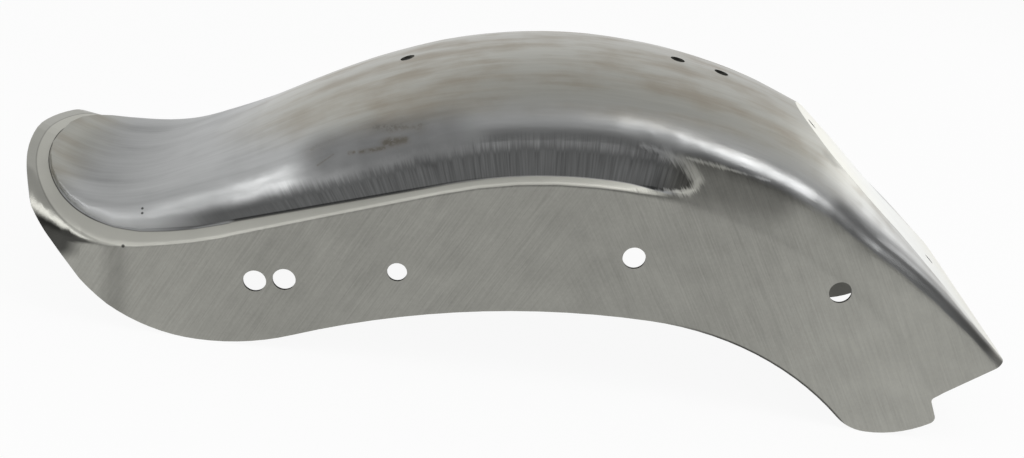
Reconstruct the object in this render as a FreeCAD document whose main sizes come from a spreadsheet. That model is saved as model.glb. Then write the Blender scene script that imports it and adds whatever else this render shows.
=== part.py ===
import FreeCAD, Part
import math
import os

import Sketcher
from FreeCAD import Vector

# A bobbed rear fender: one shell of sheet steel, pressed and welded.
# X points forward, Z up, Y = 0 is the plane of symmetry; millimetres and degrees.
# While it is modelled, X = 0 lies over the wheel axis and the skirts stand on Z = 0.
# Angles along the fender are measured about the wheel axis from straight up, forward positive.

SIZES = [
    ("sheet_thickness", 2.0, "thickness of the steel"),
    ("skirt_width", 215.0, "width over the two flat skirts"),
    ("wheel_depth", 168.0, "wheel axis below the ground line"),
    ("skirt_depth", 112.0, "pressed walls below the ledge, before trimming"),
    ("ridge_radius", 390.0, "wheel axis to the top of the crown"),
    ("ledge_radius", 322.0, "wheel axis to the ledge between skirt and crown"),
    ("front_angle", 51.1, "front edge, ahead of the wheel's top"),
    ("front_start", 16.0, "where the crown starts to sink towards the front flat"),
    ("front_full", 36.0, "where the crown has sunk to the front flat"),
    ("square_start", 24.0, "where the crown starts to square off towards the front edge"),
    ("break_angle", 21.0, "where the ledge leaves its arc, behind the wheel's top"),
    ("ledge_run", 190.0, "straight run of the ledge behind its arc"),
    ("crease_reach", 103.7, "crown's crease round the tail, behind the straight run"),
    ("tail_drop", 6.0, "skirt's shoulder at the tail below the end of the straight run"),
    ("tail_width", 154.0, "width at the end of the pressing"),
    ("hip_lift", 3.0, "lift of the ledge where its straight run bends into the tail"),
    ("hip_rise", 27.0, "crown above its wall at the end of the ledge's straight run"),
    ("lip_rise", 3.4, "crown above its wall where its crease has turned round the tail"),
    ("lip_lift", 7.0, "rise of the lip behind that crease"),
    ("crown_radius", 220.0, "radius across the crown"),
    ("crown_front_radius", 4000.0, "the same at the front edge"),
    ("crown_tail_radius", 1200.0, "the same at the tail"),
    ("ledge_slope", 30.0, "slope of the ledge's face"),
    ("tail_slope", 4.0, "the same across the tail"),
    ("ledge_round", 4.0, "bend between the skirt and the ledge"),
    ("tail_round", 31.0, "the same round the tail"),
    ("ledge_width", 4.5, "flat of the ledge, along its slope"),
    ("tail_ledge_width", 10.8, "the same at the end of the straight run"),
    ("ledge_end", 8.0, "front end of the ledge, ahead of the wheel's top"),
    ("ledge_fade", 7.0, "angle over which the ledge runs out into the skirt"),
    ("front_slope", 84.0, "slope that is left of the ledge ahead of its end"),
    ("wall_height", 18.0, "upright wall of the crown above the ledge"),
    ("front_shoulder", 8.0, "round between wall and crown at the front edge"),
    ("tail_wall_height", 0.7, "the same at the tail"),
    ("flat_angle", 38.64, "slope of the front flat"),
    ("flat_distance", 368.8, "wheel axis to the front flat"),
    ("flat_half_width", 45.0, "half the width of the flat where it is narrowest"),
    ("flat_front_half_width", 85.0, "the same at the front edge"),
    ("lip_reach", 411.4, "lip's tip behind the wheel axis"),
    ("lip_radius", 180.0, "lip's edge, seen from above"),
    ("lip_angle", 45.7, "slope of the straight edge between the lip and the heel"),
    ("heel_back", 268.0, "skirt's heel behind the wheel axis"),
    ("heel_radius", 118.0, "lower edge behind the heel"),
    ("heel_front_radius", 165.0, "lower edge ahead of the heel"),
    ("arch_front", 40.0, "top of the wheel arch ahead of the wheel axis"),
    ("arch_height", 63.4, "top of the wheel arch above the ground line"),
    ("arch_radius", 225.0, "wheel arch ahead of its top"),
    ("tab_back_radius", 35.0, "lower edge of the tab behind its lowest point"),
    ("tab_front_radius", 77.0, "lower edge of the tab ahead of its lowest point"),
    ("tab_reach", 256.0, "front of the tab ahead of the wheel axis"),
    ("tab_corner_radius", 5.0, "corner between the tab's lower and front edges"),
    ("notch_angle", 117.0, "direction of the tab's front edge, above the X axis"),
    ("notch_corner_radius", 3.0, "inner corner of the notch"),
    ("strut_hole", 15.8, "diameter of the strut holes"),
    ("rear_hole_back", 231.7, "rearmost strut hole behind the wheel axis"),
    ("rear_hole_height", 51.1, "rearmost strut hole above the ground line"),
    ("rear_pair_spacing", 20.2, "rearmost strut hole to its neighbour"),
    ("rear_pair_slope", 12.3, "slope of the line through that pair"),
    ("middle_hole", 13.6, "diameter of the small skirt hole"),
    ("middle_hole_back", 136.7, "small skirt hole behind the wheel axis"),
    ("middle_hole_height", 73.0, "small skirt hole above the ground line"),
    ("top_strut_front", 20.2, "strut hole under the crown's top, ahead of the wheel axis"),
    ("top_strut_height", 108.7, "the same above the ground line"),
    ("front_strut_front", 164.5, "front strut hole ahead of the wheel axis"),
    ("front_strut_height", 105.4, "the same above the ground line"),
    ("seat_hole", 10.5, "diameter of the holes on the crown's centre line"),
    ("rear_seat_angle", 23.0, "rear crown hole, behind the wheel's top"),
    ("front_seat_angle", 8.2, "middle of the two front crown holes, ahead of the wheel's top"),
    ("seat_pair_spacing", 33.3, "distance between the two front crown holes"),
    ("flat_hole", 8.5, "diameter of the holes in the front flat"),
    ("flat_hole_back", 107.8, "upper flat hole behind the foot of the wheel axis on the flat"),
    ("flat_hole_spacing", 147.5, "distance between the flat's holes"),
    ("origin_shift", 59.0, "wheel axis ahead of the middle of the length"),
]

# How many strips the pressing has: on the front, where the ledge fades, over the wheel, on the
# straight run and round the tail.
FRONT_STATIONS = 8
FADE_STATIONS = 4
REAR_STATIONS = 4
RUN_STATIONS = 5
TAIL_STATIONS = 8

# Shares and powers that shape the run and the tail. Shares behind the run are of crease_reach:
# 0 is the end of the run, 1 the middle of the crease across the tail, LIP_SHARE the end of the lip.
RUN_SINKING = 0.866  # how much of the wall's height is lost at the end of the run
HIP_LEAN = 0.25  # how much of the run's slope the section there still leans
HIP_SHARES = [0.9, 1.0]  # last stations of the run
HIP_BACK = 0.19  # first station behind the run
HIP_RUN_ROUND = 0.21  # where the bend between run and tail starts, as a share of the run
HIP_TAIL_ROUND = 0.385  # where it ends, behind the run
FLARE_START = -0.44
FLARE_END = 1.0
NARROW_START = 0.44
NARROW_POWER = 1.4
SLOPE_POWER = 3.5
RISE_POWER = 1.6
LIP_SHARE = 1.2
SETTLED = 0.9  # how much lower the inside's wall ends at the tail, as a share of the sheet
CREASE_END = 0.3  # share of the crease's width below which its step runs out
LAST_TURN = 87.0  # degrees by which the crease has turned at its last station
ACROSS_POWER = 2.1  # the crease round the tail is an oval with these two powers
ALONG_POWER = 3.3

# Lengths by which tools reach past the sheet that they cut.
FRONT_OVERLAP = 7.0
LIP_OVERLAP = 45.0
FRONT_REACH = 60.0
TRIM_TOP = 300.0
DRILL_LENGTH = 90.0
LONG = 900.0

doc = FreeCAD.newDocument("fender")
sheet = doc.addObject("Spreadsheet::Sheet", "Sizes")
for row, (alias, value, note) in enumerate(SIZES, start=1):
    sheet.set(f"A{row}", note)
    sheet.set(f"B{row}", str(value))
    sheet.setAlias(f"B{row}", alias)
doc.recompute()


def size(alias):
    return float(sheet.get(alias))


def value_of(expression):
    """The number that an expression over the sheet has now, as a first guess for a sketch."""
    return float(sheet.evalExpression(expression))


def smooth(low, high, at):
    share = min(max((at - low) / (high - low), 0.0), 1.0)
    return share * share * (3.0 - 2.0 * share)


def bind(sketch, name, constraint, expression):
    """Adds a named dimension to a sketch and ties it to the sheet."""
    index = sketch.addConstraint(constraint)
    sketch.renameConstraint(index, name)
    sketch.setExpression(f"Constraints.{name}", expression)


# Stations: the cross-sections through which the pressing is lofted, front to tail.


def mix(first, last, share):
    return f"(({first}) * {1 - share} + ({last}) * {share})"


def wheel_station(angle):
    """Place and shape of a cross-section on the wheel arc, measured from the ledge's line."""
    fade = size("ledge_fade")
    sunk = smooth(size("front_start"), size("front_full"), angle)
    squared = smooth(size("square_start"), size("front_angle"), angle)
    upright = min(max((angle - size("ledge_end")) / fade + 1.0, 0.0), 1.0)
    turn = mix("90 - Sizes.ledge_slope", "90 - Sizes.front_slope", upright)
    bend = f"Sizes.ledge_round * (90 - Sizes.ledge_slope) / {turn}"
    base = f"{bend} * sin({turn} * 1 deg) + Sizes.ledge_width * cos({turn} * 1 deg)"
    crown = mix("Sizes.crown_radius", "Sizes.crown_front_radius", squared**2)
    lens = mix("Sizes.flat_half_width", "Sizes.flat_front_half_width", squared**2)
    flat = f"Sizes.flat_distance / cos(({angle} - Sizes.flat_angle) * 1 deg) + {lens}^2 / (2 * {crown})"
    top = f"{mix('Sizes.ridge_radius', flat, sunk)} - Sizes.ledge_radius"
    inner = f"({crown} - Sizes.front_shoulder)"
    side = "(Sizes.skirt_width / 2 - Sizes.front_shoulder)"
    arch = f"({crown} - sqrt({inner}^2 - {side}^2))"
    return {
        "x": f"Sizes.ledge_radius * sin({angle} deg)",
        "z": f"Sizes.ledge_radius * cos({angle} deg) - Sizes.wheel_depth",
        "lean": f"{angle}",
        "turn": turn,
        "round": bend,
        "ledge": "Sizes.ledge_width",
        "wall": mix("Sizes.wall_height", f"{top} - ({base}) - {arch}", squared),
        "half": "Sizes.skirt_width / 2",
        "top": top,
        "crown": crown,
        "settle": "0",
    }


def run_station(share):
    """The same on the ledge's straight run, behind its arc."""
    turn = "(90 - Sizes.ledge_slope)"
    ledge = mix("Sizes.ledge_width", "Sizes.tail_ledge_width", share)
    wall = mix("Sizes.wall_height", "Sizes.tail_wall_height", RUN_SINKING * math.sqrt(share))
    spring = f"Sizes.ledge_round * sin({turn} * 1 deg) + {ledge} * cos({turn} * 1 deg) + {wall}"
    ridge_rise = f"Sizes.ridge_radius - Sizes.ledge_radius - ({spring})"
    rise = mix(ridge_rise, "Sizes.hip_rise", share**RISE_POWER)
    flaring = smooth(FLARE_START, FLARE_END, share - 1.0)
    rounding = max(1.0 - (1.0 - share) / HIP_RUN_ROUND, 0.0) ** 2
    return {
        "x": "-Sizes.ledge_radius * sin(Sizes.break_angle * 1 deg)"
        f" - Sizes.ledge_run * cos(Sizes.break_angle * 1 deg) * {share}",
        "z": "Sizes.ledge_radius * cos(Sizes.break_angle * 1 deg) - Sizes.wheel_depth"
        f" - Sizes.ledge_run * sin(Sizes.break_angle * 1 deg) * {share} + Sizes.hip_lift * {rounding}",
        "lean": f"-Sizes.break_angle * {1.0 - (1.0 - HIP_LEAN) * share}",
        "turn": turn,
        "round": "Sizes.ledge_round",
        "ledge": ledge,
        "wall": wall,
        "half": "Sizes.skirt_width / 2",
        "top": f"{spring} + {rise}",
        "crown": mix("Sizes.crown_radius", "Sizes.crown_tail_radius", flaring),
        "settle": "0",
    }


def tail_station(back, narrow):
    """The same behind the run, where the crease of the crown turns round the tail.

    The two shares give how far back the station lies on that turn, and the crease's width there.
    """
    slope = mix("Sizes.ledge_slope", "Sizes.tail_slope", min(back**SLOPE_POWER, 1.0))
    turn = f"(90 - {slope})"
    bend = mix("Sizes.ledge_round", "Sizes.tail_round", min(back**2, 1.0))
    pinch = max((back - NARROW_START) / (LIP_SHARE - NARROW_START), 0.0) ** NARROW_POWER
    half = mix("Sizes.skirt_width / 2", "Sizes.tail_width / 2", pinch)
    run_turn = "((90 - Sizes.ledge_slope) * 1 deg)"
    crease = (
        f"(Sizes.skirt_width / 2 - Sizes.ledge_round * (1 - cos{run_turn})"
        f" - Sizes.tail_ledge_width * sin{run_turn}) * {narrow}"
    )
    ledge = f"(({half} - {bend} * (1 - cos({turn} * 1 deg)) - {crease}) / sin({turn} * 1 deg))"
    sinking = RUN_SINKING + (1.0 - RUN_SINKING) * min(back, 1.0)
    ending = min(narrow / CREASE_END, 1.0)
    wall = f"{mix('Sizes.wall_height', 'Sizes.tail_wall_height', sinking)} * {ending}"
    spring = f"{bend} * sin({turn} * 1 deg) + {ledge} * cos({turn} * 1 deg) + {wall}"
    rise = f"{mix('Sizes.lip_rise', 'Sizes.hip_rise', max(1.0 - back, 0.0) ** RISE_POWER)} * {ending}"
    flaring = smooth(FLARE_START, FLARE_END, back)
    unrounding = 1.0 - max(1.0 - back / HIP_TAIL_ROUND, 0.0) ** 2
    end = run_station(1.0)
    return {
        "x": f"{end['x']} - Sizes.crease_reach * {back}",
        "z": f"{end['z']} - Sizes.hip_lift * {unrounding}"
        f" - Sizes.tail_drop * {min(back / NARROW_START, 1.0)}"
        f" + Sizes.lip_lift * {max(back - 1.0, 0.0) / (LIP_SHARE - 1.0)}",
        "lean": f"-Sizes.break_angle * {HIP_LEAN * max(1.0 - back / NARROW_START, 0.0)}",
        "turn": turn,
        "round": bend,
        "ledge": ledge,
        "wall": wall,
        "half": half,
        "top": f"{spring} + {rise}",
        "crown": mix("Sizes.crown_radius", "Sizes.crown_tail_radius", flaring),
        "settle": f"{SETTLED * min(back / NARROW_START, 1.0)}",
    }


def evenly(first, last, count):
    return [first + (last - first) * i / count for i in range(count)]


front_end = size("front_angle") + FRONT_OVERLAP
ledge_end, half_fade = size("ledge_end"), size("ledge_fade") / 2
ahead, behind = ledge_end + half_fade, ledge_end - 3 * half_fade
angles = evenly(front_end, ahead, FRONT_STATIONS)
angles += evenly(ahead, behind, FADE_STATIONS)
angles += evenly(behind, -size("break_angle"), REAR_STATIONS)
stations = [wheel_station(angle) for angle in angles]
stations += [run_station(share) for share in evenly(0.0, 1.0, RUN_STATIONS) + HIP_SHARES]
stations.append(tail_station(HIP_BACK, (1.0 - HIP_BACK**ALONG_POWER) ** (1.0 / ACROSS_POWER)))
for turned in evenly(LAST_TURN, 0.0, TAIL_STATIONS)[::-1]:
    crease = math.cos(math.radians(turned))
    stations.append(tail_station((1.0 - crease**ACROSS_POWER) ** (1.0 / ALONG_POWER), crease))
stations.append(tail_station(LIP_SHARE, crease))


def cross_section(name, station, inset):
    """Skirts, ledges and crown of one station; the inset gives the inside of the sheet."""
    sketch = doc.addObject("Sketcher::SketchObject", name)
    sketch.setExpression(
        "Placement",
        f"placement(vector({station['x']}; 0; {station['z']});"
        f" rotation(vector(0; 1; 0); {station['lean']}) * rotation(vector(1; 1; 1); 120))",
    )
    half_width = f"{station['half']} - ({inset})"
    depth = f"Sizes.skirt_depth + ({inset})"
    bend = f"{station['round']} - ({inset})"
    corner = f"({inset}) * tan({station['turn']} / 2 * 1 deg)"
    length = f"{station['ledge']} + {corner}"
    height = f"{station['wall']} + {corner} - ({inset}) * {station['settle']}"
    radius = f"{station['crown']} - ({inset})"
    drop = f"{station['crown']} - ({station['top']})"
    half, low, curl, flat, upright, crown, sunk = [
        value_of(text) for text in (half_width, depth, bend, length, height, radius, drop)
    ]
    turn = math.radians(value_of(station["turn"]))
    edge = Vector(half - curl * (1 - math.cos(turn)), curl * math.sin(turn), 0)
    crease = edge + Vector(-math.sin(turn), math.cos(turn), 0) * flat
    spring = crease + Vector(0, upright, 0)
    arch = crown - sunk - spring.y
    shoulder = (2 * crown * arch - arch**2 - spring.x**2) / (2 * (crown - spring.x))
    swing = math.atan2(crown - arch, spring.x - shoulder)
    up = Vector(0, 0, 1)

    def mirrored(point):
        return Vector(-point.x, point.y, 0)

    def arc(centre, radius, first, last):
        return Part.ArcOfCircle(Part.Circle(centre, up, radius), first, last)

    wall = Vector(half, 0, 0)
    foot = Vector(half, -low, 0)
    bend_centre = Vector(half - curl, 0, 0)
    shoulder_centre = Vector(spring.x - shoulder, spring.y, 0)
    sketch.addGeometry(
        [
            Part.LineSegment(mirrored(foot), mirrored(wall)),
            arc(mirrored(bend_centre), curl, math.pi - turn, math.pi),
            Part.LineSegment(mirrored(edge), mirrored(crease)),
            Part.LineSegment(mirrored(crease), mirrored(spring)),
            arc(mirrored(shoulder_centre), shoulder, math.pi - swing, math.pi),
            arc(Vector(0, -sunk, 0), crown, swing, math.pi - swing),
            arc(shoulder_centre, shoulder, 0.0, swing),
            Part.LineSegment(spring, crease),
            Part.LineSegment(crease, edge),
            arc(bend_centre, curl, 0.0, turn),
            Part.LineSegment(wall, foot),
            Part.LineSegment(foot, mirrored(foot)),
        ]
    )
    sketch.addConstraint(
        [
            Sketcher.Constraint("Tangent", 0, 2, 1, 2),
            Sketcher.Constraint("Coincident", 1, 1, 2, 1),
            Sketcher.Constraint("Coincident", 2, 2, 3, 1),
            Sketcher.Constraint("Tangent", 3, 2, 4, 2),
            Sketcher.Constraint("Tangent", 4, 1, 5, 2),
            Sketcher.Constraint("Tangent", 5, 1, 6, 2),
            Sketcher.Constraint("Tangent", 6, 1, 7, 1),
            Sketcher.Constraint("Coincident", 7, 2, 8, 1),
            Sketcher.Constraint("Coincident", 8, 2, 9, 2),
            Sketcher.Constraint("Tangent", 9, 1, 10, 1),
            Sketcher.Constraint("Coincident", 10, 2, 11, 1),
            Sketcher.Constraint("Coincident", 11, 2, 0, 1),
            Sketcher.Constraint("Vertical", 0),
            Sketcher.Constraint("Vertical", 3),
            Sketcher.Constraint("Vertical", 7),
            Sketcher.Constraint("Vertical", 10),
            Sketcher.Constraint("Horizontal", 11),
            Sketcher.Constraint("PointOnObject", 0, 2, -1),
            Sketcher.Constraint("Symmetric", 0, 2, 10, 1, -2),
            Sketcher.Constraint("Symmetric", 1, 1, 9, 2, -2),
            Sketcher.Constraint("Symmetric", 2, 2, 8, 1, -2),
            Sketcher.Constraint("Horizontal", 3, 2, 7, 1),
            Sketcher.Constraint("PointOnObject", 5, 3, -2),
        ]
    )
    turned = f"{station['turn']} * 1 deg"
    dimensions = [
        ("half_width", "DistanceX", (0, 2, -1, 1), half_width),
        ("depth", "DistanceY", (0, 1, -1, 1), depth),
        ("bend", "Radius", (1,), bend),
        ("edge", "DistanceY", (-1, 1, 1, 1), f"({bend}) * sin({turned})"),
        ("ledge_rise", "DistanceY", (2, 1, 2, 2), f"({length}) * cos({turned})"),
        ("ledge_reach", "DistanceX", (2, 1, 2, 2), f"({length}) * sin({turned})"),
        ("wall", "DistanceY", (3, 1, 3, 2), height),
        ("radius", "Radius", (5,), radius),
        ("drop", "DistanceY", (5, 3, -1, 1), drop),
    ]
    for label, kind, points, expression in dimensions:
        bind(sketch, label, Sketcher.Constraint(kind, *points, value_of(expression)), expression)
    return sketch


def boolean(kind, name, base, tool):
    result = doc.addObject(f"Part::{kind}", name)
    result.Base = base
    result.Tool = tool
    result.Refine = True
    return result


def loft(name, sections):
    solid = doc.addObject("Part::Loft", name)
    solid.Sections = sections
    solid.Solid = True
    solid.Ruled = True
    solid.Linearize = True
    return solid


def pressing(name, inset):
    sections = [cross_section(f"{name}_{i}", station, inset) for i, station in enumerate(stations)]
    return loft(name, sections)


def flat_block(name, distance):
    """Everything above the front flat."""
    block = doc.addObject("Part::Box", name)
    for side in ("Length", "Width", "Height"):
        setattr(block, side, LONG)
    axis = "placement(vector(0; 0; -Sizes.wheel_depth); rotation(vector(0; 1; 0); Sizes.flat_angle))"
    corner = f"vector(-{LONG / 2}; -{LONG / 2}; {distance})"
    block.setExpression("Placement", f"{axis} * placement({corner}; rotation(vector(0; 0; 1); 0))")
    return block


def skin(name, inset):
    """The fender's full form, closed below: its outside, or its inside where inset is the sheet."""
    flat = flat_block(f"{name}_flat", f"Sizes.flat_distance - ({inset})")
    return boolean("Cut", f"{name}_flattened", pressing(name, inset), flat)


# Side outline: all edges of the sheet, trimmed in one side view.


def side_sketch(name):
    sketch = doc.addObject("Sketcher::SketchObject", name)
    sketch.Placement = FreeCAD.Placement(Vector(0, 0, 0), FreeCAD.Rotation(Vector(1, 0, 0), 90))
    return sketch


def side_outline(name):
    """Lip, heel, wheel arch, tab, notch and front edge, closed far above the crown."""
    sketch = side_sketch(name)
    lip = math.radians(size("lip_angle"))
    front = math.radians(90.0 - size("front_angle"))
    notch = math.radians(size("notch_angle"))
    up = Vector(0, 0, 1)
    downhill = Vector(math.cos(lip), -math.sin(lip), 0)
    heel = Vector(-size("heel_back"), size("heel_radius"), 0)
    heel_front = Vector(-size("heel_back"), size("heel_front_radius"), 0)
    corner = heel + Vector(-math.sin(lip), -math.cos(lip), 0) * size("heel_radius")
    lip_end = corner - downhill * ((size("lip_reach") + corner.x) / math.cos(lip) + LIP_OVERLAP)
    arch_top = Vector(size("arch_front"), size("arch_height"), 0)
    ahead = arch_top.x - heel.x
    above = size("heel_front_radius") - arch_top.y
    rear_arch = (ahead**2 + above**2 - size("heel_front_radius") ** 2) / (
        2.0 * (size("heel_front_radius") - above)
    )
    rear_centre = arch_top - Vector(0, rear_arch, 0)
    front_centre = arch_top - Vector(0, size("arch_radius"), 0)
    rise = size("tab_back_radius") - front_centre.y
    tab_x = arch_top.x + math.sqrt((size("arch_radius") + size("tab_back_radius")) ** 2 - rise**2)
    tab_back = Vector(tab_x, size("tab_back_radius"), 0)
    tab_front = Vector(tab_x, size("tab_front_radius"), 0)
    round_tab = size("tab_corner_radius")
    outward = Vector(math.sin(notch), -math.cos(notch), 0)
    round_x = size("tab_reach") - outward.x * round_tab
    span = size("tab_front_radius") - round_tab
    tab_corner = Vector(round_x, tab_front.y - math.sqrt(span**2 - (round_x - tab_x) ** 2), 0)
    tab_end = tab_corner + outward * round_tab
    axis = Vector(0, -size("wheel_depth"), 0)
    radial = Vector(math.cos(front), math.sin(front), 0)
    front_top = axis + radial * (size("ridge_radius") + FRONT_REACH)
    climb = Vector(math.cos(notch), math.sin(notch), 0)
    across = Vector(-radial.y, radial.x, 0)
    meet = tab_end + climb * ((axis - tab_end).dot(across) / climb.dot(across))
    bite = size("notch_corner_radius") / math.tan((notch - front) / 2)
    notch_low = meet - climb * bite
    notch_high = meet + radial * bite
    notch_centre = notch_low + outward * size("notch_corner_radius")
    heading = [math.atan2((b - a).y, (b - a).x) for a, b in (
        (heel, corner), (rear_centre, heel_front), (front_centre, tab_back), (tab_front, tab_corner),
        (notch_centre, notch_high), (notch_centre, notch_low),
    )]

    def arc(centre, radius, first, last):
        return Part.ArcOfCircle(Part.Circle(centre, up, radius), first, last)

    low = -math.pi / 2
    rear_touch = rear_centre + (heel_front - rear_centre).normalize() * rear_arch
    front_touch = front_centre + (tab_back - front_centre).normalize() * size("arch_radius")
    sketch.addGeometry(
        [
            Part.LineSegment(lip_end, corner),
            arc(heel, size("heel_radius"), heading[0], low),
            arc(heel_front, size("heel_front_radius"), low, heading[1] - math.pi),
            arc(rear_centre, rear_arch, math.pi / 2, heading[1]),
            arc(front_centre, size("arch_radius"), heading[2], math.pi / 2),
            arc(tab_back, size("tab_back_radius"), heading[2] - math.pi, low),
            arc(tab_front, size("tab_front_radius"), low, heading[3]),
            arc(tab_corner, round_tab, heading[3], notch - math.pi / 2),
            Part.LineSegment(tab_end, notch_low),
            arc(notch_centre, size("notch_corner_radius"), heading[4], heading[5]),
            Part.LineSegment(notch_high, front_top),
            Part.LineSegment(front_top, Vector(front_top.x, TRIM_TOP, 0)),
            Part.LineSegment(Vector(front_top.x, TRIM_TOP, 0), Vector(lip_end.x, TRIM_TOP, 0)),
            Part.LineSegment(Vector(lip_end.x, TRIM_TOP, 0), lip_end),
        ]
    )
    sketch.addConstraint(
        [
            Sketcher.Constraint("Tangent", 0, 2, 1, 1),
            Sketcher.Constraint("Tangent", 1, 2, 2, 1),
            Sketcher.Constraint("Tangent", 2, 2, 3, 2),
            Sketcher.Constraint("Tangent", 3, 1, 4, 2),
            Sketcher.Constraint("Tangent", 4, 1, 5, 1),
            Sketcher.Constraint("Tangent", 5, 2, 6, 1),
            Sketcher.Constraint("Tangent", 6, 2, 7, 1),
            Sketcher.Constraint("Tangent", 7, 2, 8, 1),
            Sketcher.Constraint("Tangent", 8, 2, 9, 2),
            Sketcher.Constraint("Tangent", 9, 1, 10, 1),
            Sketcher.Constraint("Coincident", 10, 2, 11, 1),
            Sketcher.Constraint("Coincident", 11, 2, 12, 1),
            Sketcher.Constraint("Coincident", 12, 2, 13, 1),
            Sketcher.Constraint("Coincident", 13, 2, 0, 1),
            Sketcher.Constraint("Vertical", 11),
            Sketcher.Constraint("Horizontal", 12),
            Sketcher.Constraint("Vertical", 13),
            Sketcher.Constraint("Vertical", 1, 3, 2, 3),
            Sketcher.Constraint("Vertical", 4, 3, 4, 2),
            Sketcher.Constraint("Vertical", 5, 3, 6, 3),
            Sketcher.Constraint("DistanceY", -1, 1, 12, 1, TRIM_TOP),
        ]
    )
    reach = f"(Sizes.ridge_radius + {FRONT_REACH})"
    lip_turn = "Sizes.lip_angle * 1 deg"
    front_turn = "Sizes.front_angle * 1 deg"
    dimensions = [
        ("lip_back", "DistanceX", (0, 1, -1, 1), f"Sizes.lip_reach + {LIP_OVERLAP} * cos({lip_turn})"),
        ("lip_slope", "Angle", (0,), "-Sizes.lip_angle * 1 deg"),
        ("heel_back", "DistanceX", (1, 3, -1, 1), "Sizes.heel_back"),
        ("heel_up", "DistanceY", (-1, 1, 1, 3), "Sizes.heel_radius"),
        ("heel_radius", "Radius", (1,), "Sizes.heel_radius"),
        ("heel_front_radius", "Radius", (2,), "Sizes.heel_front_radius"),
        ("arch_front", "DistanceX", (-1, 1, 4, 2), "Sizes.arch_front"),
        ("arch_height", "DistanceY", (-1, 1, 4, 2), "Sizes.arch_height"),
        ("arch_radius", "Radius", (4,), "Sizes.arch_radius"),
        ("tab_up", "DistanceY", (-1, 1, 5, 3), "Sizes.tab_back_radius"),
        ("tab_back_radius", "Radius", (5,), "Sizes.tab_back_radius"),
        ("tab_front_radius", "Radius", (6,), "Sizes.tab_front_radius"),
        ("tab_corner_radius", "Radius", (7,), "Sizes.tab_corner_radius"),
        ("tab_reach", "DistanceX", (-1, 1, 8, 1), "Sizes.tab_reach"),
        ("notch_angle", "Angle", (8,), "Sizes.notch_angle * 1 deg"),
        ("notch_corner_radius", "Radius", (9,), "Sizes.notch_corner_radius"),
        ("front_x", "DistanceX", (-1, 1, 10, 2), f"{reach} * sin({front_turn})"),
        ("front_z", "DistanceY", (-1, 1, 10, 2), f"{reach} * cos({front_turn}) - Sizes.wheel_depth"),
        ("front_slope", "Angle", (10,), "(90 - Sizes.front_angle) * 1 deg"),
    ]
    for label, kind, points, expression in dimensions:
        now = value_of(expression)
        if kind == "Angle":
            now = math.radians(now)
        bind(sketch, label, Sketcher.Constraint(kind, *points, now), expression)
    return sketch


# Holes, drilled after pressing.


def drill(name, diameter, length, placement):
    tool = doc.addObject("Part::Cylinder", name)
    tool.setExpression("Radius", f"{diameter} / 2")
    tool.Height = length
    tool.setExpression("Placement", placement)
    return tool


def cross_drill(name, diameter, x, z):
    """A hole through both skirts."""
    start = f"vector({x}; {LONG / 2}; {z})"
    return drill(name, diameter, LONG, f"placement({start}; rotation(vector(1; 0; 0); 90))")


def radial_drill(name, diameter, lean, along, height):
    """A hole on the centre line, in the direction of lean, along the fender by along."""
    frame = f"placement(vector(0; 0; -Sizes.wheel_depth); rotation(vector(0; 1; 0); {lean}))"
    start = f"vector({along}; 0; {height} - {DRILL_LENGTH / 2})"
    along_axis = f"placement({start}; rotation(vector(0; 0; 1); 0))"
    return drill(name, diameter, DRILL_LENGTH, f"{frame} * {along_axis}")


outside = skin("outside", "0")
inside = skin("inside", "Sizes.sheet_thickness")
trim = doc.addObject("Part::Extrusion", "trim")
trim.Base = side_outline("trim_outline")
trim.DirMode = "Normal"
trim.LengthFwd = LONG
trim.Symmetric = True
trim.Solid = True
tail_centre = "(Sizes.lip_radius - Sizes.lip_reach)"
tail_block = doc.addObject("Part::Box", "tail_block")
for side in ("Length", "Width", "Height"):
    setattr(tail_block, side, LONG)
tail_block.setExpression("Placement.Base.x", f"{tail_centre} - {LONG}")
tail_block.Placement.Base.y = -LONG / 2
tail_round = doc.addObject("Part::Cylinder", "tail_round")
tail_round.setExpression("Radius", "Sizes.lip_radius")
tail_round.Height = LONG
tail_round.setExpression("Placement.Base.x", tail_centre)
rounded = boolean("Cut", "rounded_trim", trim, boolean("Cut", "tail_cutter", tail_block, tail_round))
trimmed = boolean("Common", "trimmed", outside, rounded)
hollow = boolean("Cut", "hollow", trimmed, inside)

pair_x = "-Sizes.rear_hole_back + Sizes.rear_pair_spacing * cos(Sizes.rear_pair_slope * 1 deg)"
pair_z = "Sizes.rear_hole_height + Sizes.rear_pair_spacing * sin(Sizes.rear_pair_slope * 1 deg)"
strut, middle, seat, flat = [f"Sizes.{hole}_hole" for hole in ("strut", "middle", "seat", "flat")]
seat_lean, seat_half = "Sizes.front_seat_angle", "Sizes.seat_pair_spacing / 2"
flat_lean, flat_height = "Sizes.flat_angle", "Sizes.flat_distance"
flat_front = "Sizes.flat_hole_spacing - Sizes.flat_hole_back"
drills = doc.addObject("Part::MultiFuse", "drills")
drills.Shapes = [
    cross_drill("rear_strut_drill", strut, "-Sizes.rear_hole_back", "Sizes.rear_hole_height"),
    cross_drill("rear_pair_drill", strut, pair_x, pair_z),
    cross_drill("middle_drill", middle, "-Sizes.middle_hole_back", "Sizes.middle_hole_height"),
    cross_drill("top_strut_drill", strut, "Sizes.top_strut_front", "Sizes.top_strut_height"),
    cross_drill("front_strut_drill", strut, "Sizes.front_strut_front", "Sizes.front_strut_height"),
    radial_drill("rear_seat_drill", seat, "-Sizes.rear_seat_angle", "0", "Sizes.ridge_radius"),
    radial_drill("seat_drill_1", seat, seat_lean, f"-{seat_half}", "Sizes.ridge_radius"),
    radial_drill("seat_drill_2", seat, seat_lean, seat_half, "Sizes.ridge_radius"),
    radial_drill("flat_drill_1", flat, flat_lean, "-Sizes.flat_hole_back", flat_height),
    radial_drill("flat_drill_2", flat, flat_lean, flat_front, flat_height),
]
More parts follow.
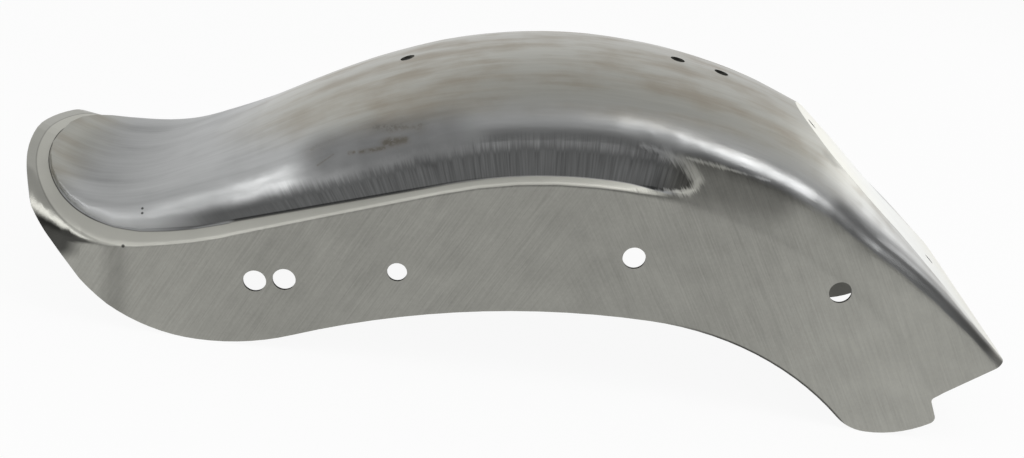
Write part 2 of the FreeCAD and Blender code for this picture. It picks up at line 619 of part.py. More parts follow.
fender = boolean("Cut", "fender_shell", hollow, drills)
fender.Label = "fender_shell"
fender.setExpression("Placement.Base.x", "Sizes.origin_shift")
doc.recompute()

for obj in doc.Objects:
    if "Invalid" in obj.State or "Error" in obj.State:
        raise RuntimeError(f"{obj.Name} failed: {obj.State}")
if fender.Shape.isNull() or not fender.Shape.isValid():
    raise RuntimeError(f"{fender.Label} is not a valid solid")

os.makedirs("parts", exist_ok=True)
fender.Shape.exportStep(f"parts/{fender.Label}.step")
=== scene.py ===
# %% [markdown]
# # A bare steel rear fender
#
# The part is one shell of sheet steel: flat skirts, a ledge on each side, a rounded crown,
# a flared lip at the tail and a flat with two holes at the front. Its shape comes from the
# solid model, so this lesson is about finishing metal: how a sanded, scratched and lightly
# stained sheet is made from noise, and how plain studio light brings it out.

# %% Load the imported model
import math

import bmesh
import bpy
from mathutils import Matrix, Vector
from mathutils.bvhtree import BVHTree


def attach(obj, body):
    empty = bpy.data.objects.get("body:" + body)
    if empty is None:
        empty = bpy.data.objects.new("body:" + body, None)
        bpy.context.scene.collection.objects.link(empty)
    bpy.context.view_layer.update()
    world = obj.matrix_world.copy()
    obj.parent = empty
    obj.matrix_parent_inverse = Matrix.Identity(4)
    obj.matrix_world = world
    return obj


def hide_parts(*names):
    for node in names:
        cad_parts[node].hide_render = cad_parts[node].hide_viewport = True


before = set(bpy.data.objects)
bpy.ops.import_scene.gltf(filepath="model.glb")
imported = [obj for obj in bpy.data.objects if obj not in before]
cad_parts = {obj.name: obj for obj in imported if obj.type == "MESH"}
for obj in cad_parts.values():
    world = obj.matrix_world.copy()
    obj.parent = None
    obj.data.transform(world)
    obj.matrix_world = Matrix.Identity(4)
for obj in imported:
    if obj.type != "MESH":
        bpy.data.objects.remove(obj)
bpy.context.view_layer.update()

# %% [markdown]
# ## One smooth skin
#
# Sheet metal has no facets, but the solid model arrives as loose flat triangles. Its shape is
# right, so nothing is modelled again: a copy of the mesh is welded, shaded smooth, and keeps
# hard edges only where the steel is cut or creased. The edge of the front flat bends too
# little for an angle limit to find it, so its faces are known by their direction. A burr along
# the middle of the lip is dressed flat on the way.

# %% Weld a copy of the shell
WELD_GAP = 1e-5
SLIVER = 1e-6
skin = bmesh.new()
skin.from_mesh(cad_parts["fender_shell"].data)
bmesh.ops.remove_doubles(skin, verts=skin.verts, dist=WELD_GAP)
bmesh.ops.dissolve_degenerate(skin, edges=skin.edges, dist=SLIVER)
print("welded", len(skin.faces), "faces")

# %% Dress the burr on the lip
LIP_START, LIP_HEIGHT, LIP_CLIMB = -0.33741, 0.09323, 0.2996
BURR_HALF, BURR_DEPTH, BURR_SLACK = 0.00515, 0.0004, 1e-4
burr = [
    vert
    for vert in skin.verts
    if vert.co.x < LIP_START + BURR_SLACK and abs(vert.co.y) < BURR_HALF
]
for vert in burr:
    level = LIP_HEIGHT + (LIP_START - vert.co.x) * LIP_CLIMB
    if vert.co.z > level - BURR_DEPTH:
        vert.co.z = min(vert.co.z, level)
skin.normal_update()
print("burr dressed at", len(burr), "points")

# %% Mark the hard edges
HARD_BEND = math.radians(32)
FLAT_AXIS = Vector((0.624425, 0.0, 0.781085))
FLAT_SPREAD = math.radians(0.6)
FLAT_BEND = math.radians(1.5)


def is_hard(edge):
    """True for a crease, a cut edge or the border of the front flat."""
    if len(edge.link_faces) != 2:
        return True
    bend = edge.calc_face_angle(0.0)
    on_flat = [face.normal.angle(FLAT_AXIS, 0.0) < FLAT_SPREAD for face in edge.link_faces]
    return bend > HARD_BEND or (on_flat[0] != on_flat[1] and bend > FLAT_BEND)


for edge in skin.edges:
    edge.smooth = not is_hard(edge)
print(sum(not edge.smooth for edge in skin.edges), "hard edges")

# %% [markdown]
# ## Fair the crown
#
# The solid model spans the crown with long straight strips, and mirror-like metal shows every
# one of them. The crown alone is cut into short edges and then relaxed, as a panel beater
# planishes a surface: each point moves a little towards its neighbours, again and again. The
# points of a crease, a hole or a cut edge stay where they are.

# %% Which points lie on the crown
WHEEL_X, WHEEL_Z = 0.059, -0.168
LEDGE_RADIUS = 0.322
BREAK = math.radians(21)
BREAK_X = WHEEL_X - LEDGE_RADIUS * math.sin(BREAK)
BREAK_Z = WHEEL_Z + LEDGE_RADIUS * math.cos(BREAK)
RUN_END = -0.2338
CREASE_REACH, CREASE_HALF = 0.1037, 0.0961
REACH_POWER, HALF_POWER = 3.3, 2.1
CROWN_FOOT = 0.012
TAIL_SHARE = 0.96
TAIL_OVERLAP = 0.03


def on_crown(point):
    """True well above the ledge, and inside the crease of the tail."""
    back = max((RUN_END - point.x) / CREASE_REACH, 0.0)
    oval_share = back**REACH_POWER + (abs(point.y) / CREASE_HALF) ** HALF_POWER
    in_tail = oval_share < TAIL_SHARE
    if point.x < RUN_END + TAIL_OVERLAP and (in_tail or point.x < RUN_END):
        return in_tail
    if point.x - WHEEL_X < -math.tan(BREAK) * (point.z - WHEEL_Z):
        behind, above = BREAK_X - point.x, point.z - BREAK_Z
        return behind * math.sin(BREAK) + above * math.cos(BREAK) > CROWN_FOOT
    return math.hypot(point.x - WHEEL_X, point.z - WHEEL_Z) - LEDGE_RADIUS > CROWN_FOOT


print(sum(on_crown(vert.co) for vert in skin.verts), "points on the crown")

# %% Cut the crown fine and relax it
FINE_EDGE = 0.008
CUT_PASSES = 4
RELAX_PASSES = 30


def crown_edges(longest):
    """Soft edges of the crown that are longer than a limit."""
    return [
        edge
        for edge in skin.edges
        if edge.smooth
        and edge.calc_length() > longest
        and all(on_crown(vert.co) for vert in edge.verts)
    ]


for _ in range(CUT_PASSES):
    bmesh.ops.subdivide_edges(skin, edges=crown_edges(FINE_EDGE), cuts=1)
    bmesh.ops.triangulate(skin, faces=[face for face in skin.faces if len(face.verts) > 3])
held = {vert for edge in skin.edges if not edge.smooth for vert in edge.verts}
loose = [vert for vert in skin.verts if vert not in held and on_crown(vert.co)]
for _ in range(RELAX_PASSES):
    bmesh.ops.smooth_vert(
        skin, verts=loose, factor=0.5, use_axis_x=True, use_axis_y=True, use_axis_z=True
    )
print("crown relaxed at", len(loose), "points")

# %% Shade the skin smooth
for face in skin.faces:
    face.smooth = True
nearest_steel = BVHTree.FromBMesh(skin)
fender_mesh = bpy.data.meshes.new("fender_skin")
skin.to_mesh(fender_mesh)
skin.free()
fender_mesh.materials.clear()
print("skin", len(fender_mesh.polygons), "faces")

# %% Put the skin in the shell's place
FACE_WEIGHT = 50
fender = bpy.data.objects.new("fender_skin", fender_mesh)
bpy.context.scene.collection.objects.link(fender)
even = fender.modifiers.new("even_shading", "WEIGHTED_NORMAL")
even.keep_sharp = True
even.weight = FACE_WEIGHT
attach(fender, "root")
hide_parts("fender_shell")
print("skin stands for the shell")

# %% [markdown]
# ## Camera
#
# The photograph is taken from the right side, a little above and behind the middle of the
# part. Its place was found by fitting the holes and the outline of the solid model to the
# picture, and it comes first, so that every later cell can be judged from the same spot.

# %% Camera
PHOTO_WIDTH = 1024
FOCAL_PIXELS = 1345.5
SENSOR_WIDTH = 36.0
eye = Vector((-0.0635, -0.9297, 0.4785))
ahead = Vector((0.0642, 0.9135, -0.4016)).normalized()
right = ahead.cross(Vector((-0.1442, 0.4067, 0.9021))).normalized()
lens = bpy.data.cameras.new("photo_camera")
lens.sensor_width = SENSOR_WIDTH
lens.lens = FOCAL_PIXELS / PHOTO_WIDTH * SENSOR_WIDTH
camera = bpy.data.objects.new("photo_camera", lens)
turn = Matrix((right, right.cross(ahead), -ahead)).transposed().to_4x4()
camera.matrix_world = Matrix.Translation(eye) @ turn
bpy.context.scene.collection.objects.link(camera)
bpy.context.scene.camera = camera
bpy.context.scene.view_settings.view_transform = "Standard"
print("lens", round(lens.lens, 2), "mm")

# %% [markdown]
# ## Writing shader sums as Python
#
# A finish is mostly arithmetic on masks. Node links are slow to read, so a small class wraps
# an output socket and lets `mask * 2` or `1 - mask` add the Math nodes. All other nodes come
# from one method, which sets a node's settings first and its inputs after that.

# %% A socket that can be added and multiplied


class Socket:
    """An output of a node, with the arithmetic that the finishes need."""

    def __init__(self, tree, socket):
        self.tree = tree
        self.socket = socket

    def math(self, operation, *others):
        node = self.tree.nodes.new("ShaderNodeMath")
        node.operation = operation
        for place, value in enumerate((self,) + others):
            if isinstance(value, Socket):
                self.tree.links.new(value.socket, node.inputs[place])
            else:
                node.inputs[place].default_value = value
        return Socket(self.tree, node.outputs[0])

    def __add__(self, other):
        return self.math("ADD", other)

    def __radd__(self, other):
        return self.math("ADD", other)

    def __sub__(self, other):
        return self.math("SUBTRACT", other)

    def __rsub__(self, other):
        return (self * -1.0).math("ADD", other)

    def __mul__(self, other):
        return self.math("MULTIPLY", other)

    def __rmul__(self, other):
        return self.math("MULTIPLY", other)

    def __truediv__(self, other):
        return self.math("DIVIDE", other)

    def __pow__(self, other):
        return self.math("POWER", other)

    def __abs__(self):
        return self.math("ABSOLUTE")

    def up_to(self, other):
        return self.math("MINIMUM", other)

    def at_least(self, other):
        return self.math("MAXIMUM", other)


print("sockets can be added and multiplied")

# %% One method for all other nodes


class Finish:
    """The nodes of a material or a room, and the few that every mask is made of."""

    def __init__(self, owner):
        owner.use_nodes = True
        self.owner = owner
        self.tree = owner.node_tree
        self.tree.nodes.clear()

    def node(self, kind, settings=None, inputs=None, output=0):
        made = self.tree.nodes.new(kind)
        for key, value in (settings or {}).items():
            setattr(made, key, value)
        for key, value in (inputs or {}).items():
            if isinstance(value, Socket):
                self.tree.links.new(value.socket, made.inputs[key])
            else:
                made.inputs[key].default_value = value
        return Socket(self.tree, made.outputs[output]) if made.outputs else made

    def ramp(self, value, low, high):
        """0 at low, 1 at high and a soft step between; low may be above high."""
        settings = {"interpolation_type": "SMOOTHSTEP"}
        return self.node("ShaderNodeMapRange", settings, {0: value, 1: low, 2: high})

    def mix(self, share, first, last):
        """One colour into another."""
        inputs = {0: share, 6: first, 7: last}
        return self.node("ShaderNodeMix", {"data_type": "RGBA"}, inputs, output=2)

    def join(self, first, second, third):
        """Three numbers as a vector."""
        return self.node("ShaderNodeCombineXYZ", {}, {0: first, 1: second, 2: third})

    def split(self, vector):
        """A vector as three numbers."""
        return [self.node("ShaderNodeSeparateXYZ", {}, {0: vector}, axis) for axis in range(3)]

    def vector(self, operation, first, second, output=0):
        settings = {"operation": operation}
        return self.node("ShaderNodeVectorMath", settings, {0: first, 1: second}, output)

    def noise(self, place, detail=3.0, roughness=0.5):
        inputs = {"Vector": place, "Scale": 1.0, "Detail": detail, "Roughness": roughness}
        return self.node("ShaderNodeTexNoise", {}, inputs)

    def grain(self, place, lean, size):
        """The place seen in a frame leant about Y, in grains of the given size."""
        inputs = {"Vector": place, "Rotation": (0.0, -math.radians(lean), 0.0), "Scale": size}
        return self.node("ShaderNodeMapping", {"vector_type": "TEXTURE"}, inputs)

    def near_line(self, place, start, end):
        """Distance to the line from start to end."""
        run = Vector(end) - Vector(start)
        offset = self.vector("SUBTRACT", place, tuple(start))
        share = self.vector("DOT_PRODUCT", offset, tuple(run), "Value") / run.length_squared
        share = share.at_least(0.0).up_to(1.0)
        foot = self.node("ShaderNodeVectorMath", {"operation": "SCALE"}, {0: tuple(run), 3: share})
        return self.vector("DISTANCE", offset, foot, "Value")


def blend(share, first, last):
    """One number into another."""
    return first + (last - first) * share


def swing(noise):
    """A noise about nought, so that it adds as much as it takes away."""
    return noise - 0.5


print("finish helpers ready")

# %% [markdown]
# ## Where a point of the steel lies
#
# The fender is a ring round the wheel, then a straight run and an oval tail. Wear and tool
# marks follow that shape, so each mask asks three things: the height above the ledge, the
# angle round the wheel, and, at the tail, how far out a point lies on the oval of the crease.

# %% Heights and angles
RUN_JOIN = 0.002
steel = Finish(bpy.data.materials.new("raw_steel"))
place = steel.node("ShaderNodeTexCoord", output="Object")
facing = steel.node("ShaderNodeTexCoord", output="Normal")
x, y, z = steel.split(place)
facing_x, facing_y, facing_z = steel.split(facing)
ahead_of_wheel = x - WHEEL_X
above_wheel = z - WHEEL_Z
radius = (ahead_of_wheel * ahead_of_wheel + above_wheel * above_wheel) ** 0.5
angle = ahead_of_wheel.math("ARCTAN2", above_wheel)
on_run = steel.ramp(angle, -BREAK + RUN_JOIN, -BREAK - RUN_JOIN)
above_run = (BREAK_X - x) * math.sin(BREAK) + (z - BREAK_Z) * math.cos(BREAK)
above_ledge = blend(on_run, radius - LEDGE_RADIUS, above_run)
print("the run starts at", round(BREAK_X, 4), round(BREAK_Z, 4))

# %% The tail's oval
TAIL_START, TAIL_FULL = RUN_END + 0.044, RUN_END + 0.038
CREASE_AT_RUN, CREASE_AT_TAIL = 1.06, 1.024
back_share = ((RUN_END - x) / CREASE_REACH).at_least(0.0)
oval = back_share**REACH_POWER + (abs(y) / CREASE_HALF) ** HALF_POWER
at_tail = steel.ramp(x, TAIL_START, TAIL_FULL)
round_tail = steel.ramp(x, RUN_END + 0.01, RUN_END - 0.045)
past_crease = oval - blend(round_tail, CREASE_AT_RUN, CREASE_AT_TAIL)
print("the tail starts at", round(TAIL_START, 4))

# %% [markdown]
# ## Skirt, ledge, crown and inside
#
# Each of these was worked in another way: the skirts were sanded, the ledge pressed, the
# crown rolled, and the inside left alone; the inside's dark tone is partly that bare steel and
# partly painted shade. A mask is a soft step on one of the measures above, and the direction a
# face looks in tells the outside of the sheet from the inside.

# %% Ledge and crown
CREASE_HEIGHT, CREASE_CLIMB, CLIMB_START = 0.0054, 0.0155, -0.045
LIP_BORDER = 1.29
sideways = abs(facing_y)
above_crease = above_ledge - CREASE_HEIGHT - (CLIMB_START - x).at_least(0.0) * CREASE_CLIMB
ledge_on_side = steel.ramp(above_ledge, -0.0018, -0.0006)
ledge_on_side = ledge_on_side * steel.ramp(above_crease, 0.0006, -0.0002)
ledge_on_side = ledge_on_side * steel.ramp(sideways, 0.96, 0.88) * steel.ramp(angle, 0.125, 0.07)
ledge_at_tail = steel.ramp(past_crease, -0.006, 0.006) * steel.ramp(sideways, 0.97, 0.93)
ledge_at_tail = ledge_at_tail * steel.ramp(oval, LIP_BORDER + 0.02, LIP_BORDER - 0.02)
ledge = blend(at_tail, ledge_on_side, ledge_at_tail)
crown_on_side = steel.ramp(above_crease, -0.0004, 0.0006)
crown_at_tail = steel.ramp(past_crease, 0.006, -0.006)
front_panel = steel.ramp(angle, 0.06, 0.14) * steel.ramp(sideways, 0.9, 0.97)
crown = blend(at_tail, crown_on_side, crown_at_tail) * (1 - front_panel)
print("masks of ledge and crown")

# %% Lip, flat and inside
lip = at_tail * steel.ramp(oval, LIP_BORDER - 0.01, LIP_BORDER + 0.03)
lip = lip * steel.ramp(sideways, 0.97, 0.9)
along_flat = steel.vector("DOT_PRODUCT", facing, tuple(FLAT_AXIS), "Value")
on_flat = steel.ramp(along_flat, 0.9985, 0.9998) * steel.ramp(x, 0.15, 0.17)
from_wheel = (facing_x * ahead_of_wheel + facing_z * above_wheel) / radius
# The inside is darkened later: partly bare steel, partly painted shade.
inside = steel.ramp(facing_y * y.math("SIGN") + from_wheel, 0.0, -0.1)
print("masks of lip, flat and inside")

# %% [markdown]
# ## Sanding marks
#
# A disc leaves families of fine parallel scratches. Stretched noise gives them: the pattern
# is turned, then squeezed across and drawn out along the stroke. The strokes lean forward on
# the rear half of the skirts and backward on the front half, and soft mottling runs below.

# %% Scratches on the skirts
LEANS = (64, 122)
STROKE = (0.03, 0.08, 0.001)
BROAD_STROKE = (0.05, 0.12, 0.006)
MOTTLE = (0.03, 0.03, 0.022)
SPECKLE = (0.0022, 0.0022, 0.0022)
front_half = steel.ramp(x, 0.0, 0.09)
scratches = blend(
    front_half, *[steel.noise(steel.grain(place, lean, STROKE)) for lean in LEANS]
)
smears = blend(
    front_half, *[steel.noise(steel.grain(place, lean, BROAD_STROKE)) for lean in LEANS]
)
mottle = steel.noise(steel.grain(place, 0, MOTTLE), detail=5.0)
speckle = steel.noise(steel.grain(place, 0, SPECKLE), detail=2.0)
print("scratches lean", LEANS, "degrees")

# %% Tone of the skirts
ARCH_X, ARCH_Z, ARCH_RADIUS = 0.099, -0.1616, 0.225
skirt_tone = blend(steel.ramp(x, 0.12, 0.3), 0.305, 0.375)
skirt_tone = skirt_tone + steel.ramp(x, -0.1, -0.26) * 0.03
skirt_tone = skirt_tone + swing(scratches) * 0.15 + swing(smears) * 0.05
skirt_tone = skirt_tone + swing(mottle) * 0.09 + swing(speckle) * 0.05
arch_edge = ((x - ARCH_X) ** 2.0 + (z - ARCH_Z) ** 2.0) ** 0.5 - ARCH_RADIUS
arch_line = steel.ramp(arch_edge, 0.0017, 0.0007) * steel.ramp(x, 0.1, 0.16)
skirt_tone = skirt_tone * (1 - arch_line * 0.75)
print("skirts, with the dark line along the wheel arch")

# %% [markdown]
# ## Rolling streaks and haze on the crown
#
# The crown was drawn over a former, which leaves streaks along its length, and old oil dried
# on it as a brown haze. Both follow the wheel, so their noise is read at the angle round the
# wheel and the distance from the middle, and not at the plain position.

# %% Streaks
streak_place = steel.join(angle * 4.0, y * 60.0, radius * 8.0)
streaks = steel.noise(streak_place, detail=4.0, roughness=0.55)
fine_streaks = steel.noise(steel.join(angle * 9.0, y * 420.0, radius * 30.0), detail=2.0)
haze = steel.ramp(streaks + swing(mottle) * 0.6, 0.36, 0.76)
haze = haze * blend(steel.ramp(x, -0.26, -0.1), 0.6, 1.0)
top = steel.ramp(above_ledge, 0.04, 0.058)
crown_tone = 0.45 + swing(fine_streaks) * 0.08 - haze * 0.07 + (1 - top) * 0.04
tail_hollow = steel.ramp(x, -0.24, -0.3) * steel.ramp(oval, 0.8, 0.4)
crown_tone = crown_tone - tail_hollow * 0.09
print("crown streaks")

# %% [markdown]
# ## The upright wall above the ledge
#
# Between ledge and crown the wall was never sanded flat, only scraped upright. Its dark tone is
# partly that scraped steel and partly painted shade, which stands in for the dim room that the
# upright steel would mirror. The scratches end at different heights, so the mask's upper limit
# is moved by the same noise that draws them. A thin dark line along the crease below it is partly
# dirt and partly painted shade, the bend between ledge and lip at the tail gets a line of painted
# shade, and two stretches of the shoulder are darkened with painted shade.

# %% Scraped wall
scrapes = steel.noise(steel.join(angle * 260.0, above_ledge * 28.0, y * 9.0), detail=3.0)
scraped = steel.ramp(x, -0.19, -0.13)
wall_height = blend(steel.ramp(x, -0.2, -0.01), 0.022, 0.031)
wall_top = (wall_height - above_ledge) / 0.012 + swing(scrapes) * scraped
wall_foot = steel.ramp(angle, 0.08, 0.155) * 0.008
wall_end = (0.2225 - above_ledge * 3.55).up_to(0.145)
wall = steel.ramp(wall_top, -0.4, 0.7) * blend(at_tail, 1.0, crown)
wall = wall * steel.ramp(above_crease - wall_foot, -0.0004, 0.0008)
wall = wall * steel.ramp(x, -0.262, -0.2) * steel.ramp(angle - wall_end, 0.006, -0.006)
# The wall's dark tone: partly scraped steel, partly painted shade.
wall_scrapes_and_painted_shade = 0.11 + swing(scrapes) * (0.03 + scraped * 0.1)
print("scraped wall")

# %% Line of the crease
# The lines below darken the crease: partly dirt, partly painted shade.
side_line = steel.ramp(abs(above_crease - 0.0004), 0.0012, 0.0004) * (1 - at_tail)
side_line = side_line * steel.ramp(x, 0.0, -0.09)
tail_line = steel.ramp(abs(past_crease), 0.016, 0.004) * at_tail
tail_line = tail_line * blend(steel.ramp(x, -0.27, -0.29), 0.5, 1.0)
crease_dirt_and_shade = side_line.at_least(tail_line) * 0.75
# Painted shade along the bend between the ledge and the lip.
lip_bend_shade = at_tail * steel.ramp(abs(oval - LIP_BORDER), 0.022, 0.006) * 0.22
print("lines of the crease and the lip")

# %% Painted shade on the shoulder
REAR_SHOULDER = ((-0.134, -0.094, 0.1425), (-0.06, -0.098, 0.167))
FRONT_SHOULDER = ((0.214, -0.1, 0.159), (0.262, -0.094, 0.135), (0.335, -0.1, 0.083))
# Painted shade on the shoulder by the rust; the same mask also raises the roughness there.
from_rear_shoulder = steel.near_line(place, *REAR_SHOULDER) + swing(mottle) * 0.004
rear_shoulder_shade = steel.ramp(from_rear_shoulder, 0.036, 0.004) * 0.5 * (1 - wall)
# Painted shade on the front shoulder.
from_front = steel.near_line(place, *FRONT_SHOULDER[:2])
from_front = from_front.up_to(steel.near_line(place, *FRONT_SHOULDER[1:]))
front_shade = steel.ramp(from_front, 0.018, 0.004) * 0.55
print("dull shoulder")

# %% [markdown]
# ## Marks of the workshop
#
# Where the ledge ends, a weld was ground flush and left an arrow of bright strokes; the panel
# just ahead of it gets painted shade. Rust has eaten brown specks into the crown, there are a
# few pits and scratches, and the roll of the tail gets painted shade where it turns down. Each
# mark is a distance to a line or a point, roughened by noise so that no edge is drawn with a
# ruler. The relaxed skin lies a little below the solid model, so every mark is first dropped
# on the steel.

# %% Ground arrow at the end of the ledge


def on_skin(point):
    """The point of the relaxed steel that is nearest to a mark."""
    return nearest_steel.find_nearest(Vector(point))[0]


# Start, end, half width and tone of each stroke.
ARROW = [
    ((0.0695, -0.1006, 0.187), (0.0851, -0.103, 0.1848), 0.0028, 0.42),
    ((0.0851, -0.103, 0.1848), (0.1003, -0.1055, 0.1811), 0.005, 0.42),
    ((0.1003, -0.1055, 0.1811), (0.1098, -0.1068, 0.171), 0.005, 0.42),
    ((0.1098, -0.1068, 0.171), (0.1087, -0.1068, 0.1636), 0.004, 0.47),
    ((0.1087, -0.1068, 0.1636), (0.102, -0.1064, 0.1602), 0.0034, 0.58),
    ((0.102, -0.1064, 0.1602), (0.087, -0.1057, 0.1582), 0.0027, 0.64),
    ((0.087, -0.1057, 0.1582), (0.0683, -0.1062, 0.1569), 0.0016, 0.66),
    ((0.0998, -0.1047, 0.1843), (0.1257, -0.1056, 0.1816), 0.0019, 0.55),
    ((0.1257, -0.1056, 0.1816), (0.1574, -0.1043, 0.1769), 0.0012, 0.5),
]
GRINDING_LEAN, GRINDING = 128, (0.02, 0.05, 0.0014)
AHEAD_OF_ARROW = ((0.115, -0.106, 0.172), (0.16, -0.106, 0.167))
ragged = steel.noise(steel.grain(place, GRINDING_LEAN, GRINDING), detail=4.0)
arrow = 0.0
arrow_tone = 0.0
for start, end, reach, shine in ARROW:
    stroke = steel.near_line(place, on_skin(start), on_skin(end)) / reach
    stroke = steel.ramp(stroke + swing(ragged) * 3.4, 1.15, -0.2)
    arrow = stroke.at_least(arrow)
    arrow_tone = (stroke * shine).at_least(arrow_tone)
arrow_tone = arrow_tone * (1 + swing(ragged) * 0.9)
# Painted shade on the panel just ahead of the arrow.
shade_ahead = steel.ramp(steel.near_line(place, *AHEAD_OF_ARROW), 0.03, 0.006) * 0.45
print("ground arrow of", len(ARROW), "strokes")

# %% Rust
# Start, end, half width and strength of each stain.
RUST = [
    ((-0.1053, -0.0835, 0.1663), (-0.0775, -0.0914, 0.1736), 0.009, 0.6),
    ((-0.0969, -0.0938, 0.16), (-0.0854, -0.0951, 0.1645), 0.0062, 0.85),
    ((-0.1131, -0.0942, 0.1505), (-0.0978, -0.0954, 0.1569), 0.0026, 0.7),
    ((-0.1203, -0.0932, 0.1482), (-0.1171, -0.0935, 0.1495), 0.002, 0.7),
    ((-0.1455, -0.0855, 0.1434), (-0.1345, -0.0829, 0.1514), 0.0075, 0.3),
    ((-0.1404, -0.0937, 0.1366), (-0.1308, -0.0914, 0.1451), 0.0011, 0.6),
]
CRUST_LEAN, CRUST = 20, (0.003, 0.003, 0.003)
crust = steel.noise(steel.grain(place, CRUST_LEAN, CRUST), detail=6.0, roughness=0.75)
stain = 0.0
for start, end, reach, strength in RUST:
    patch = steel.near_line(place, on_skin(start), on_skin(end)) / reach
    patch = patch + swing(crust) * 1.5 + swing(mottle) * 1.6
    stain = (steel.ramp(patch, 1.2, 0.1) * strength).at_least(stain)
specks = steel.ramp(crust + stain * 0.3, 0.6, 0.78)
rust = stain * (0.3 + specks * 0.7)
print(len(RUST), "rust stains")

# %% Pits and the dark tail roll
# Place and radius of each pit.
PITS = [
    ((-0.2545, -0.0912, 0.0857), 0.0012),
    ((-0.2538, -0.0935, 0.0831), 0.0012),
    ((-0.2622, -0.1072, 0.0632), 0.0015),
    ((-0.2554, -0.0081, 0.0947), 0.0016),
    ((-0.2564, -0.0191, 0.0941), 0.0013),
    ((-0.2465, -0.005, 0.0985), 0.0014),
]
ROLL_X, ROLL_Z, ROLL_CLIMB = -0.281, 0.0595, 0.45
pits = 0.0
for spot, reach in PITS:
    away = steel.vector("DISTANCE", place, tuple(on_skin(spot)), "Value")
    pits = steel.ramp(away, reach, reach * 0.5).at_least(pits)
# Painted shade on the roll of the tail, where its faces turn down.
shaded_tail_roll = steel.ramp(facing_z, 0.5, 0.36) * steel.ramp(sideways, 0.988, 0.955)
shaded_tail_roll = shaded_tail_roll * steel.ramp(oval, LIP_BORDER - 0.01, LIP_BORDER + 0.04)
roll_foot = z - ROLL_Z - (x - ROLL_X) * ROLL_CLIMB + swing(mottle) * 0.006
shaded_tail_roll = shaded_tail_roll * steel.ramp(x, -0.262, -0.285) * steel.ramp(roll_foot, -0.008, 0.004)
print(len(PITS), "pits, and the roll of the tail")

# %% [markdown]
# ## Put the steel together
#
# One number, the tone, says how much light the metal gives back, and a second, the warmth,
# tints it from neutral to the brown of dried oil. Two colours would be quicker to mix, but
# one number for each keeps every mark free of the others: later marks lie over earlier ones,
# with the real marks in the order in which they came on the real part. Painted shade on the
# wall, shoulder, crease, tail roll and inside, and painted shine on the front flat, go into
# the same tone.

# %% Tone
LEDGE_REAR, LEDGE_FRONT = 0.58, 0.74
LIP_TONE, FLAT_PAINTED_SHINE, ROLL_PAINTED_SHADE, RUST_TONE, INSIDE_UNSANDED_AND_SHADE = 0.42, 0.8, 0.065, 0.12, 0.12
tone = blend(crown, skirt_tone, crown_tone)
# The wall: scraped steel with painted shade.
tone = blend(wall, tone, wall_scrapes_and_painted_shade)
# Painted shade on two stretches of the shoulder.
tone = tone * (1 - rear_shoulder_shade * crown) * (1 - front_shade * crown)
ledge_tone = blend(steel.ramp(x, -0.15, -0.02), LEDGE_REAR, LEDGE_FRONT)
tone = blend(ledge, tone, ledge_tone + swing(mottle) * 0.1)
tone = blend(lip, tone, LIP_TONE + swing(mottle) * 0.1)
# Painted shine on the front flat.
tone = blend(on_flat, tone, FLAT_PAINTED_SHINE)
# Painted shade ahead of the arrow.
tone = tone * (1 - shade_ahead)
tone = tone * (1 - arrow) + arrow_tone
# Painted shade on the roll of the tail.
tone = blend(shaded_tail_roll, tone, ROLL_PAINTED_SHADE + swing(mottle) * 0.05)
tone = blend(rust, tone, RUST_TONE)
# Pits, then the crease line (dirt and painted shade) and painted shade at the lip's bend.
tone = tone * (1 - pits * 0.8) * (1 - crease_dirt_and_shade) * (1 - lip_bend_shade)
# The inside: bare steel with painted shade.
tone = blend(inside, tone, INSIDE_UNSANDED_AND_SHADE + swing(mottle) * 0.1)
print("tone ready")

# %% Colour
BLACK = (0.0, 0.0, 0.0, 1.0)
SANDED_TINT = (1.0, 0.995, 0.91, 1.0)
SHOULDER_TINT = (0.985, 1.0, 1.0, 1.0)
OIL_TINT = (1.0, 0.9, 0.74, 1.0)
warmth = (haze * crown * top * 0.8).at_least(rust * 0.9) * (1 - on_flat)
neutral = steel.mix(crown * (1 - top), SANDED_TINT, SHOULDER_TINT)
colour = steel.mix(tone, BLACK, steel.mix(warmth, neutral, OIL_TINT))
print("colour ready")

# %% Roughness, relief and the steel itself
SANDED, ROLLED, WORN, SMOOTH = 0.46, 0.31, 0.5, 0.3
RELIEF, RELIEF_HEIGHT = 0.12, 0.0006
crown_roughness = ROLLED + haze * 0.1 + steel.ramp(x, 0.12, 0.22) * 0.06
crown_roughness = crown_roughness + at_tail * 0.05 + steel.ramp(x, -0.2, -0.26) * 0.12
# The shoulder stretch with painted shade is also made rougher.
crown_roughness = crown_roughness + rear_shoulder_shade * 0.5
roughness = blend(crown, SANDED + swing(scratches) * 0.2, crown_roughness)
roughness = blend(ledge, roughness, WORN)
roughness = blend(rust.at_least(inside).at_least(arrow), roughness, WORN)
roughness = blend(lip, roughness, SMOOTH)
height = blend(crown, scratches, fine_streaks * 0.3)
relief = steel.node(
    "ShaderNodeBump", {}, {"Strength": RELIEF, "Distance": RELIEF_HEIGHT, "Height": height}
)
surface = steel.node(
    "ShaderNodeBsdfPrincipled",
    {},
    {"Base Color": colour, "Metallic": 1.0, "Roughness": roughness, "Normal": relief},
)
steel.node("ShaderNodeOutputMaterial", {}, {"Surface": surface})
fender_mesh.materials.append(steel.owner)
print("steel has", len(steel.tree.nodes), "nodes")

# %% [markdown]
# ## Floor and light
#
# The photograph is a cut-out on white. The floor is plain and pale, and shows as white to the
# camera and in the metal. Bare steel is drawn by what it mirrors: the room is dim in front and
# to the right, bright behind and high on the left, and soft lamps draw the highlights. Each
# lamp stands where the steel mirrors it to the place of a highlight in the photograph.

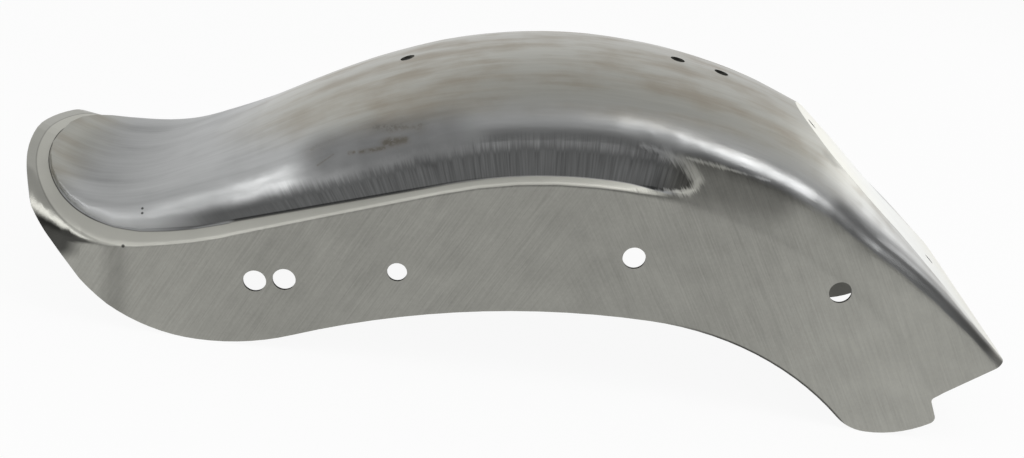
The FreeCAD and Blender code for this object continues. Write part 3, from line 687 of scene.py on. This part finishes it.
# %% Floor
FLOOR_HALF = 12.0
WHITE_SHARE = 0.93
PALE = (0.9, 0.9, 0.9, 1.0)
WHITE = (1.0, 1.0, 1.0, 1.0)
floor_mesh = bpy.data.meshes.new("floor")
tile = bmesh.new()
bmesh.ops.create_grid(tile, x_segments=1, y_segments=1, size=FLOOR_HALF)
tile.to_mesh(floor_mesh)
tile.free()
floor = bpy.data.objects.new("floor", floor_mesh)
bpy.context.scene.collection.objects.link(floor)
paper = Finish(bpy.data.materials.new("white_paper"))
seen = 0.0
for ray in ("Is Camera Ray", "Is Glossy Ray", "Is Transmission Ray"):
    seen = paper.node("ShaderNodeLightPath", output=ray).at_least(seen)
matt = paper.node("ShaderNodeBsdfDiffuse", {}, {"Color": PALE})
white = paper.node("ShaderNodeEmission", {}, {"Color": WHITE, "Strength": 1.0})
mixed = paper.node("ShaderNodeMixShader", {}, {0: seen * WHITE_SHARE, 1: matt, 2: white})
paper.node("ShaderNodeOutputMaterial", {}, {"Surface": mixed})
floor_mesh.materials.append(paper.owner)
print("floor laid")

# %% Lamps
# Place, aim, size and power of each lamp.
LAMPS = {
    "left_box": ((-1.03, -0.68, 0.8), (-0.25, -0.09, 0.09), (0.45, 0.45), 1.3),
    "low_left_box": ((-0.82, -1.1, 0.42), (-0.25, -0.09, 0.08), (0.45, 0.45), 1.9),
    "right_box": ((0.74, -0.44, 1.16), (0.15, -0.1, 0.18), (0.6, 0.9), 6.0),
    "back_right_box": ((1.19, 1.03, 0.56), (0.22, -0.06, 0.17), (0.5, 0.5), 1.5),
}
for name, (spot, target, size, power) in LAMPS.items():
    lamp = bpy.data.lights.new(name, "AREA")
    lamp.shape = "RECTANGLE"
    lamp.size, lamp.size_y = size
    lamp.energy = power
    holder = bpy.data.objects.new(name, lamp)
    aim = (Vector(target) - Vector(spot)).to_track_quat("-Z", "Y").to_matrix().to_4x4()
    holder.matrix_world = Matrix.Translation(spot) @ aim
    bpy.context.scene.collection.objects.link(holder)
print(len(LAMPS), "soft lamps")

# %% Room
FRONT_WALL, BACK_WALL, CEILING, LEFT_WALL = 0.12, 0.85, 0.5, 0.85
room = bpy.data.worlds.new("studio")
bpy.context.scene.world = room
walls = Finish(room)
look_x, look_y, look_z = walls.split(walls.node("ShaderNodeTexCoord", output="Generated"))
brightness = blend(walls.ramp(look_y, 0.15, 0.7), FRONT_WALL, BACK_WALL)
brightness = blend(walls.ramp(look_z, 0.45, 0.85), brightness, CEILING)
on_left = walls.ramp(look_x, -0.4, -0.7) * walls.ramp(look_z, 0.3, 0.5)
brightness = blend(on_left, brightness, LEFT_WALL)
backdrop = walls.node("ShaderNodeBackground", {}, {"Color": WHITE, "Strength": brightness})
walls.node("ShaderNodeOutputWorld", {}, {"Surface": backdrop})
print("room lit")
